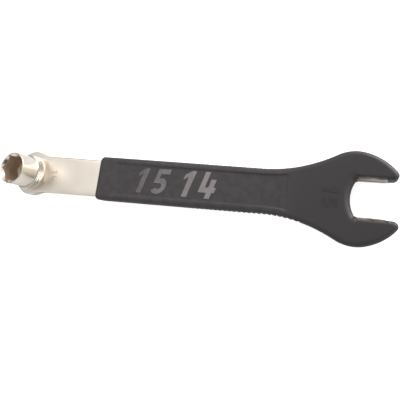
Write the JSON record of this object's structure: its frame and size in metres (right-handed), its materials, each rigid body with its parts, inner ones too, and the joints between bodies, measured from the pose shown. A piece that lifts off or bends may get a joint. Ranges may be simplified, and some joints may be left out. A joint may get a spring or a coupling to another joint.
{
  "type": "pedal wrench",
  "caption": "Pedal wrench: a flat plated steel bar with an open jaw, a black moulded grip round its shank and head, and a hexagon socket standing on its round eye.",
  "frame": {"origin": "on the hexagon socket's axis, half way through the steel bar's thickness", "axes": "+X along the wrench from the socket to the open jaw, +Z along the socket's axis out of its mouth, +Y completes the frame"},
  "size_m": [0.2076, 0.0388, 0.0228],
  "materials": {
    "plated_steel": "satin nickel plate, slightly warm",
    "grip_plastic": "fine matt texture"
  },
  "bodies": {
    "root": {"bar": "plated_steel", "socket": "plated_steel", "grip": "grip_plastic"}
  },
  "joints": []
}
